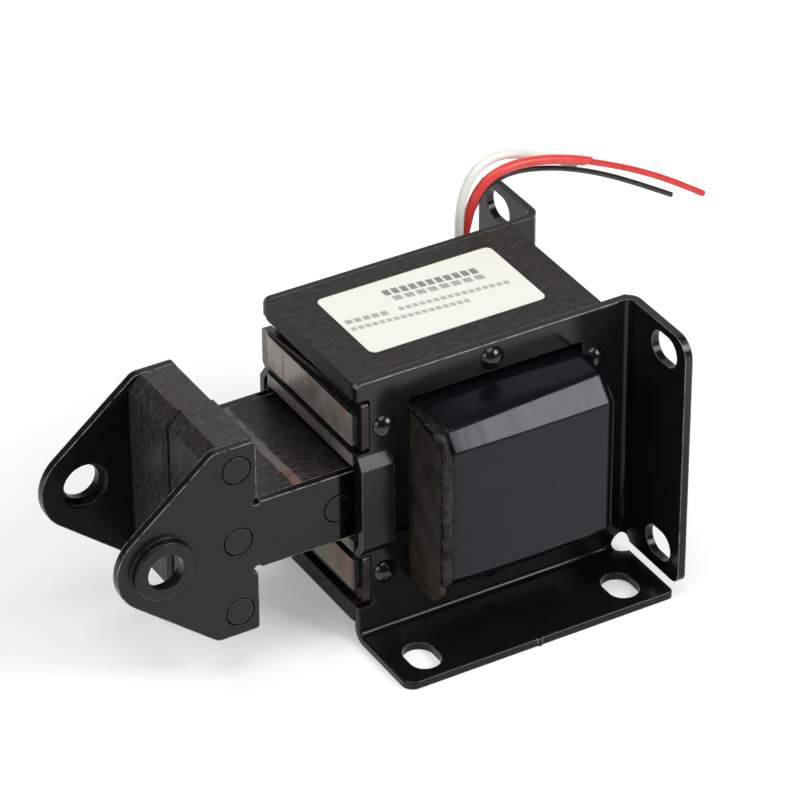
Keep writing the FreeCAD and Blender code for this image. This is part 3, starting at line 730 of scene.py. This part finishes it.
def add_plunger_sheets():
    """The two packs of plunger sheets; the far one stands a step further forward."""
    skin = plunger_varnish("plunger_varnish")
    step = 0.5
    outline = plunger_outline()
    proud = [(x - step if x < 0 else x, z) for x, z in outline]

    def setback(i, count):
        """The sheets next to the middle of the plunger stand back."""
        return max(0.0, 0.36 - 0.12 * i)

    for side, shape in (("near", outline), ("far", proud)):
        node = "plunger_laminations_" + side
        low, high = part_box(node)
        inner, outer = (high.y, low.y) if side == "near" else (low.y, high.y)
        mesh = sheet_stack(shape, inner, outer, 0.025, setback, lambda a, b: 0)
        add_piece("plunger_sheets_" + side, mesh, "plunger", "varnished_plunger", [skin], node)


# ---- coil ---------------------------------------------------------------------------------
# the coil's shoulder, as (y, height off the axis) in millimetres, at its front and rear
SHOULDER_FRONT = (30.0, 19.8)
SHOULDER_REAR = (28.8, 21.0)


def coil_outline(inset, shoulder):
    """Outline of the coil across the stroke, as (y, height off the axis) in millimetres. It
    leaves the side plates at the root and slopes by the shoulder down to its flat face."""
    root_y, root, face_y, face_half = 18.0, 21.4, 33.5, 15.8
    shoulder_y, shoulder_z = shoulder
    quarter = [(root_y, root - inset), (shoulder_y - inset * 0.6, shoulder_z - inset),
               (face_y - inset, face_half - inset * 0.6)]
    outline = [Vector(p) for p in quarter]
    outline += [Vector((y, -z)) for y, z in reversed(quarter)]
    outline += [Vector((-y, -z)) for y, z in quarter]
    outline += [Vector((-y, z)) for y, z in reversed(quarter)]
    return outline


def add_coil_wrap():
    """The tape skin of the coil: nearly flat faces, crisp corners, drawn in at both ends. The
    shoulder widens towards the rear, as the film was wound on."""
    low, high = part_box("coil_outer_wrap")
    length = (high.x - low.x) / MM
    corner, steps, step = 1.1, 6, 0.8
    at_shoulder = (30.0, 2.0)
    front = rounded(coil_outline(0.0, SHOULDER_FRONT), corner, steps, at_shoulder)
    rear = rounded(coil_outline(0.0, SHOULDER_REAR), corner, steps, at_shoulder)
    rear = even(rear, step, front)
    front = even(front, step)
    rear_round, crown, front_lip, depth = 1.3, 0.45, 0.22, 3.0
    spans, round_spans = 36, 7
    stops = [length * i / spans for i in range(spans)]
    stops = [stop for stop in stops if stop < length - rear_round - 0.4]
    for k in range(round_spans + 1):
        stops.append(length - rear_round * (1 - math.sin(math.pi / 2 * k / round_spans)))
    bm = bmesh.new()
    grid = []
    for stop in stops:
        x = low.x + stop * MM
        # rounded at the rear, fullest halfway, with a small lip at the front
        sunk = max(0.0, rear_round - (length - stop))
        drawn = rear_round - math.sqrt(rear_round ** 2 - sunk ** 2)
        drawn += crown * (2 * stop / length - 1) ** 2 - crown * 0.4
        drawn += front_lip * math.exp(-stop / 4.0)
        row = []
        for a, b in zip(front, rear):
            p = a.lerp(b, stop / length)
            ripple = noise.noise(Vector((stop * 0.10, p.x * 0.12, p.y * 0.12))) * 0.12
            fine = noise.noise(Vector((stop * 0.5, p.x * 0.35, p.y * 0.35 + 7.0))) * 0.02
            q = p + p.normalized() * (ripple + fine - 0.08 - drawn)
            row.append(bm.verts.new((x, q.x * MM, axis_z + q.y * MM)))
        grid.append(row)
    tube(bm, grid)
    # the ends turn inward to the winding
    for row in (grid[0], grid[-1]):
        inner = []
        for v, p in zip(row, rear):
            q = p - p.normalized() * depth
            inner.append(bm.verts.new((v.co.x, q.x * MM, axis_z + q.y * MM)))
        tube(bm, (row, inner), smooth=False)
    add_piece("coil_wrap_skin", finished(bm, "wrap"), "frame", "coil_wrap",
              [tape_film("film_black")], "coil_outer_wrap")


def add_edge_tape():
    """Uneven varnished tape over the front rim of the coil, lapping onto board and wrap."""
    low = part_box("coil_edge_tape")[0]
    corner, steps, step, around = 1.6, 6, 0.45, 10
    bm = bmesh.new()
    rows = []
    for p in even(rounded(coil_outline(0.2, SHOULDER_FRONT), corner, steps), step):
        away = p.normalized()
        place = Vector((p.x * 0.22, p.y * 0.22, 3.0))
        wide = 1.35 + 0.35 * noise.noise(place) + 0.45 * noise.noise(place * 4.0)
        thick = 0.42 + 0.26 * noise.noise(place * 2.3 + Vector((5, 0, 0)))
        drift = 0.25 * noise.noise(place * 1.7 + Vector((0, 9, 0)))
        row = []
        for k in range(around):
            turn = 2 * math.pi * k / around
            lump = 0.22 * noise.noise(Vector((p.x * 0.9, p.y * 0.9, k * 1.3)))
            x = low.x + (-0.1 + drift + wide * math.cos(turn)) * MM
            q = p + away * ((thick + lump) * math.sin(turn) - 0.15)
            row.append(bm.verts.new((x, q.x * MM, axis_z + q.y * MM)))
        rows.append(row)
    tube(bm, rows + rows[:1])
    add_piece("edge_tape_turn", finished(bm, "edge_tape"), "frame", "cloth_tape",
              [cloth_tape("tape_varnished")], "coil_edge_tape")


# ---- leads --------------------------------------------------------------------------------
# routes from the coil outward, in millimetres, as the CAD tubes run
WHITE = [(42.6, 23.6, 54.0), (42.6, 24.0, 61.0), (43.4, 24.7, 69.0), (47.1, 25.8, 75.2),
         (54.1, 27.0, 76.6), (62.3, 28.2, 73.6), (69.9, 29.0, 69.6), (75.2, 29.2, 66.8)]
RED = [(43.7, 26.2, 53.5), (44.9, 25.4, 60.4), (46.4, 25.0, 68.0), (50.1, 25.0, 72.6),
       (56.1, 25.0, 74.2), (63.7, 25.0, 73.4), (71.9, 25.0, 71.0), (80.9, 25.0, 67.1),
       (90.2, 25.0, 62.4), (98.7, 25.0, 57.2), (106.3, 25.0, 51.9)]
BLACK = [(43.9, 28.9, 53.0), (46.4, 27.9, 59.4), (48.7, 27.2, 66.0), (52.1, 27.2, 69.8),
         (57.7, 27.2, 71.0), (65.1, 27.2, 69.8), (73.1, 27.2, 67.2), (81.9, 27.2, 63.1),
         (91.0, 27.2, 57.8), (99.3, 27.2, 52.6)]


def add_lead(name, route, radius, material, node):
    """A lead as one smooth spline, returned with the points along its middle line."""
    curve = bpy.data.curves.new(name, "CURVE")
    curve.dimensions = "3D"
    curve.resolution_u = 16
    spline = curve.splines.new("NURBS")
    spline.points.add(len(route) - 1)
    for point, place in zip(spline.points, route):
        point.co = (*(Vector(place) * MM), 1.0)
    spline.order_u = 3
    spline.use_endpoint_u = True
    lead = bpy.data.objects.new(name, curve)
    bpy.context.scene.collection.objects.link(lead)
    bpy.context.view_layer.update()
    line = bpy.data.meshes.new_from_object(lead)
    path = [v.co.copy() for v in line.vertices]
    bpy.data.meshes.remove(line)
    curve.bevel_depth = radius
    curve.bevel_resolution = 6
    curve.use_fill_caps = True
    curve.materials.append(material)
    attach(lead, "frame")
    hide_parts(node)
    return lead, path


def frame_along(path, i):
    """Direction of the path at a point, with two directions across it (the second one is up)."""
    ahead = (path[min(i + 1, len(path) - 1)] - path[max(i - 1, 0)]).normalized()
    side = Vector((0, 1, 0))
    side = (side - ahead * side.dot(ahead)).normalized()
    return ahead, side, ahead.cross(side) * -1


def add_sleeve(path, reach, inner, outer, material):
    """Sleeving over the start of a lead, its end cut on the slant."""
    points = [path[0]]
    walked = 0.0
    for a, b in zip(path, path[1:]):
        walked += (b - a).length
        if walked > reach:
            break
        points.append(b)
    around = 20
    slant, slant_points = 1.3 * MM, 4
    bm = bmesh.new()
    shells = []
    for radius in (outer, inner):
        rows = []
        for i, p in enumerate(points):
            ahead, side, up = frame_along(path, i)
            last = max(0.0, 1.0 - (len(points) - 1 - i) / slant_points)
            row = []
            for k in range(around):
                turn = 2 * math.pi * k / around
                across = side * math.cos(turn) + up * math.sin(turn)
                place = p + across * radius + ahead * (slant * last * across.z)
                row.append(bm.verts.new(place))
            rows.append(row)
        shells.append(rows)
    for rows in shells:
        tube(bm, rows)
    for end in (0, -1):
        tube(bm, (shells[0][end], shells[1][end]), smooth=False)
    return add_piece("red_sleeving", finished(bm, "sleeve"), "frame", "red_insulation",
                     [material], "red_sleeve")


def add_strands(name, path, radius, material, slot):
    """The cut end of a lead: seven fine strands that just show in the insulation."""
    ahead, side, up = frame_along(path, len(path) - 1)
    end = path[-1]
    fine = radius * 0.19        # radius of a strand
    spread = fine * 2.05        # six of them lie round the middle one
    sides = 8
    places = [Vector((0, 0))]
    for k in range(6):
        turn = math.pi / 3 * k
        places.append(Vector((math.cos(turn), math.sin(turn))) * spread)
    bm = bmesh.new()
    for place in places:
        centre = end + side * place.x + up * place.y
        rings = []
        for along, width in ((-0.4 * MM, 1.0), (0.12 * MM, 1.0), (0.17 * MM, 0.7)):
            ring = []
            for k in range(sides):
                turn = 2 * math.pi * k / sides
                across = (side * math.cos(turn) + up * math.sin(turn)) * fine * width
                ring.append(bm.verts.new(centre + ahead * along + across))
            rings.append(ring)
        tube(bm, rings)
        bm.faces.new(rings[-1])
        bm.faces.new(list(reversed(rings[0])))
    return add_piece(name, finished(bm, name), "frame", slot, [material])


def add_leads():
    """Three stiff leads, the red one sleeved; each shows its cut strands at the end."""
    white = insulation("insulation_white", (0.78, 0.79, 0.72), (0.86, 0.86, 0.80), 0.35)
    red = insulation("insulation_red", (0.80, 0.035, 0.03), (0.62, 0.02, 0.02), 0.3)
    sleeve_red = insulation("sleeve_red", (0.74, 0.045, 0.038), (0.84, 0.07, 0.06), 0.32)
    black = insulation("insulation_black", (0.010, 0.010, 0.011), (0.020, 0.020, 0.022), 0.3)
    copper = bare_copper("strand_copper")

    lead, path = add_lead("white_lead", WHITE, 1.0 * MM, white, "lead_white")
    ends = add_strands("white_strands", path, 1.0 * MM, copper, "magnet_wire")
    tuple(path[0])

    lead, path = add_lead("red_lead", RED, 0.7 * MM, red, "lead_red")
    sleeve = add_sleeve(path, 0.0465, 0.8 * MM, 1.1 * MM, sleeve_red)
    ends = add_strands("red_strands", path, 0.7 * MM, copper, "magnet_wire")
    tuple(path[0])

    lead, path = add_lead("black_lead", BLACK, 0.6 * MM, black, "lead_black")
    ends = add_strands("black_strands", path, 0.6 * MM, copper, "magnet_wire")
    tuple(path[0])


# ---- build --------------------------------------------------------------------------------
add_camera()
add_studio()
add_floor()
add_leads()
add_core_sheets()
add_plunger_sheets()
add_coil_wrap()
add_edge_tape()

plate_paint = enamel("plate_enamel", (0.0058, 0.0060, 0.0066), (0.36, 0.34, 0.30), 0.9, 0.18, 0.24,
                     plate_rub, roll_wear_and_highlight=die_roll_wear_and_highlight)
cheek_paint = enamel("cheek_enamel", (0.0058, 0.0060, 0.0062), (0.42, 0.40, 0.36), 1.0, 0.25, 0.27,
                     cheek_rub, 0.45, 16.0, pole_x - 3.0 * MM)
rivet_paint = enamel("rivet_enamel", (0.0040, 0.0040, 0.0045), (0.12, 0.11, 0.10), 0.1, 0.15, 0.55)
flush_paint = enamel("flush_rivet_enamel", (0.0064, 0.0066, 0.0070), (0.16, 0.15, 0.14), 0.5, 0.28,
                     0.27, shadow_from=pole_x - 3.0 * MM)
board = pressboard("board_brown")
copper_ring = copper_under_varnish("ring_copper")
for side in ("near", "far"):
    dress("side_plate_" + side, plate_paint)
    dress("plunger_cheek_" + side, cheek_paint)
for end in ("front", "rear"):
    dress("former_flange_" + end, board)
for place in ("upper", "lower"):
    dress("shading_ring_" + place, copper_ring)
dress("frame_rivets", rivet_paint)
dress("plunger_head_rivets", flush_paint)
dress("plunger_stem_rivets", flush_paint)
dress("former_guide_tube", moulding("former_brown"))
dress("coil_winding", bare_copper("winding_copper"))
dress("rating_label", paper_label("label_blank"))
